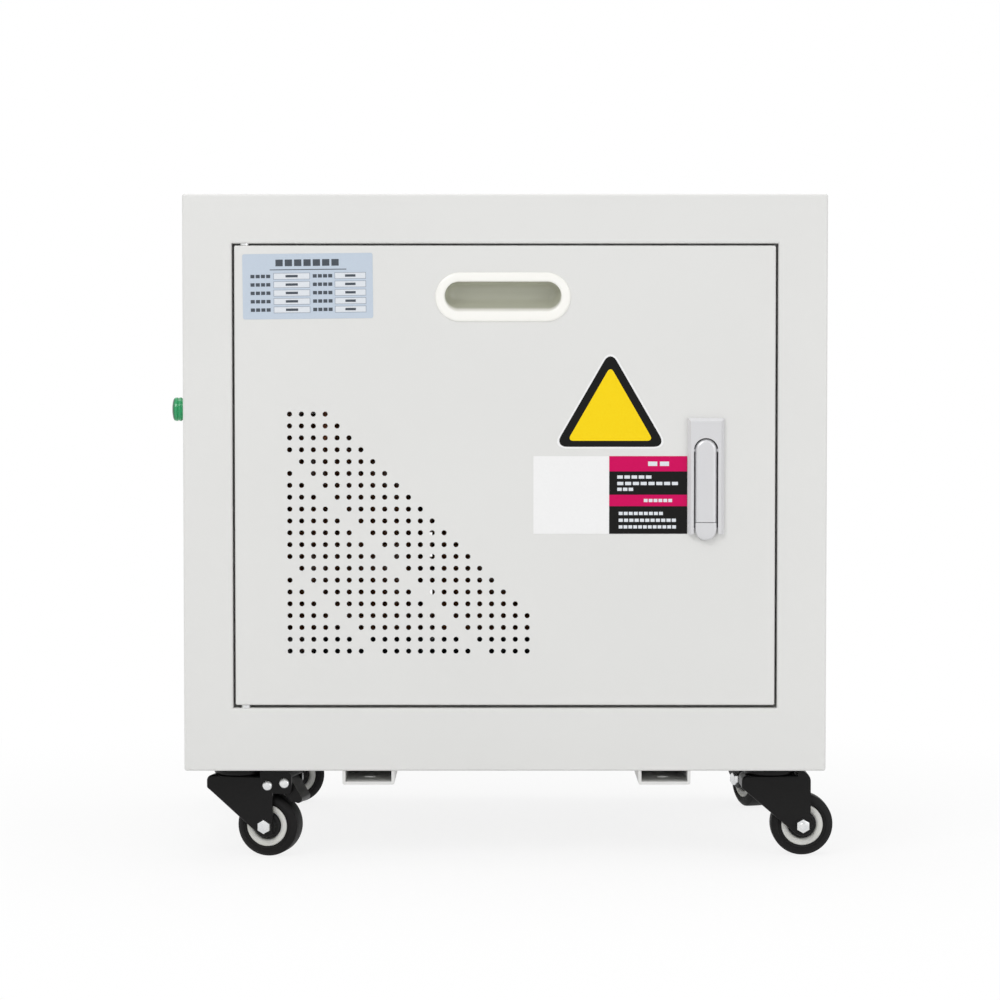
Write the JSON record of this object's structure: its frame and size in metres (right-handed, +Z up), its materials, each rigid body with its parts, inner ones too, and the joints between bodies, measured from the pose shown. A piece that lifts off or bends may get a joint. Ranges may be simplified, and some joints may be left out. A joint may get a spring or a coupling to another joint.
{
  "type": "dry type transformer",
  "caption": "Floor-standing dry type transformer in a light-grey sheet-metal cabinet with a vented door, flush pull cup, lift lock, base rails and swivel casters.",
  "frame": {"origin": "middle of the cabinet on the floor it stands on", "axes": "+Z up, -Y towards the door side, +X to the right of someone facing the door"},
  "size_m": [0.669, 0.499, 0.665],
  "materials": {
    "cabinet_paint": "fine-textured light warm-grey powder coat",
    "zinc_steel": "bright zinc plate",
    "lamp_black": "satin moulded",
    "lens_green": "clear-gloss moulded green",
    "grommet_rubber": "matt",
    "brass": "turned",
    "copper_bar": "tinned-edge copper bar, brushed",
    "core_steel": "stacked electrical steel, varnished",
    "clamp_paint": "dark grey primer",
    "winding_lv": "varnished foil and paper",
    "winding_hv": "varnished wire and tape",
    "insulating_board": "red glass-polyester board",
    "cup_plastic": "glossy off-white moulding",
    "rating_film": "blue-grey printed film",
    "yellow_film": "printed vinyl",
    "white_film": "printed vinyl",
    "lock_satin": "satin die-cast",
    "caster_black": "black electro-coat",
    "tyre_black": "moulded rubber",
    "rim_white": "off-white nylon",
    "cap_black": "moulded"
  },
  "bodies": {
    "cabinet": {"front_frame": "cabinet_paint", "left_side_panel": "cabinet_paint", "right_side_panel": "cabinet_paint", "top_cover": "cabinet_paint", "back_panel": "cabinet_paint", "floor_panel": "cabinet_paint", "base_rail_left": "cabinet_paint", "base_rail_right": "cabinet_paint", "hinge_pins": "zinc_steel", "cabinet_screws": "zinc_steel", "pilot_lamp_body": "lamp_black", "pilot_lamp_lens": "lens_green", "cable_grommets": "grommet_rubber", "earth_stud": "brass", "core_stack": "core_steel", "top_yoke": "core_steel", "core_clamps": "clamp_paint", "tie_bolts": "zinc_steel", "lv_windings": "winding_lv", "hv_winding_a": "winding_hv", "hv_winding_b": "winding_hv", "hv_winding_c": "winding_hv", "terminal_board": "insulating_board", "terminal_bars": "copper_bar", "caster_fl_plate": "caster_black", "caster_fr_plate": "caster_black", "caster_rl_plate": "caster_black", "caster_rr_plate": "caster_black"},
    "door": {"door_panel": "cabinet_paint", "pull_cup": "cup_plastic", "rating_plate": "rating_film", "triangle_label": "yellow_film", "banded_label": "white_film", "lock_bezel": "lock_satin", "lock_cam": "zinc_steel"},
    "lock_paddle": {"lock_paddle": "lock_satin"},
    "lock_button": {"lock_button": "lock_satin"},
    "caster_fl_swivel": {"caster_fl_fork": "caster_black", "caster_fl_axle": "zinc_steel"},
    "caster_fl_wheel": {"caster_fl_tyre": "tyre_black", "caster_fl_rim": "rim_white", "caster_fl_hub_caps": "cap_black"},
    "caster_fl_brake": {"caster_fl_brake_pedal": "caster_black"},
    "caster_fr_swivel": {"caster_fr_fork": "caster_black", "caster_fr_axle": "zinc_steel"},
    "caster_fr_wheel": {"caster_fr_tyre": "tyre_black", "caster_fr_rim": "rim_white", "caster_fr_hub_caps": "cap_black"},
    "caster_rl_swivel": {"caster_rl_fork": "caster_black", "caster_rl_axle": "zinc_steel"},
    "caster_rl_wheel": {"caster_rl_tyre": "tyre_black", "caster_rl_rim": "rim_white", "caster_rl_hub_caps": "cap_black"},
    "caster_rr_swivel": {"caster_rr_fork": "caster_black", "caster_rr_axle": "zinc_steel"},
    "caster_rr_wheel": {"caster_rr_tyre": "tyre_black", "caster_rr_rim": "rim_white", "caster_rr_hub_caps": "cap_black"},
    "caster_rr_brake": {"caster_rr_brake_pedal": "caster_black"}
  },
  "joints": [
    {"name": "door_hinge", "type": "hinge", "parent": "cabinet", "child": "door", "pos_m": [-0.2585, -0.234, 0.385], "axis": [0, 0, -1], "range_deg": [0, 115]},
    {"name": "lock_paddle_lift", "type": "hinge", "parent": "door", "child": "lock_paddle", "pos_m": [0.1994, -0.241, 0.411], "axis": [-1, 0, 0], "range_deg": [0, 40]},
    {"name": "lock_button_press", "type": "slide", "parent": "door", "child": "lock_button", "axis": [0, 1, 0], "range_m": [0, 0.003], "stiffness_N_per_m": 400},
    {"name": "caster_fl_swivel_turn", "type": "hinge", "parent": "cabinet", "child": "caster_fl_swivel", "pos_m": [-0.2685, -0.187, 0.08], "axis": [0, 0, 1], "continuous": true},
    {"name": "caster_fl_wheel_roll", "type": "hinge", "parent": "caster_fl_swivel", "child": "caster_fl_wheel", "pos_m": [-0.23732, -0.1942, 0.0315], "axis": [0.225, 0.9744, 0], "continuous": true},
    {"name": "caster_fl_brake_press", "type": "hinge", "parent": "caster_fl_swivel", "child": "caster_fl_brake", "pos_m": [-0.21754, -0.19876, 0.0758], "axis": [0.225, 0.9744, 0], "range_deg": [0, 15]},
    {"name": "caster_fr_swivel_turn", "type": "hinge", "parent": "cabinet", "child": "caster_fr_swivel", "pos_m": [0.2685, -0.187, 0.08], "axis": [0, 0, 1], "continuous": true},
    {"name": "caster_fr_wheel_roll", "type": "hinge", "parent": "caster_fr_swivel", "child": "caster_fr_wheel", "pos_m": [0.3005, -0.187, 0.0315], "axis": [0, 1, 0], "continuous": true},
    {"name": "caster_rl_swivel_turn", "type": "hinge", "parent": "cabinet", "child": "caster_rl_swivel", "pos_m": [-0.2685, 0.187, 0.08], "axis": [0, 0, 1], "continuous": true},
    {"name": "caster_rl_wheel_roll", "type": "hinge", "parent": "caster_rl_swivel", "child": "caster_rl_wheel", "pos_m": [-0.23681, 0.19145, 0.0315], "axis": [-0.1392, 0.9903, 0], "continuous": true},
    {"name": "caster_rr_swivel_turn", "type": "hinge", "parent": "cabinet", "child": "caster_rr_swivel", "pos_m": [0.2685, 0.187, 0.08], "axis": [0, 0, 1], "continuous": true},
    {"name": "caster_rr_wheel_roll", "type": "hinge", "parent": "caster_rr_swivel", "child": "caster_rr_wheel", "pos_m": [0.27944, 0.15693, 0.0315], "axis": [0.9397, 0.342, 0], "continuous": true},
    {"name": "caster_rr_brake_press", "type": "hinge", "parent": "caster_rr_swivel", "child": "caster_rr_brake", "pos_m": [0.28639, 0.13785, 0.0758], "axis": [0.9397, 0.342, 0], "range_deg": [0, 15]}
  ]
}
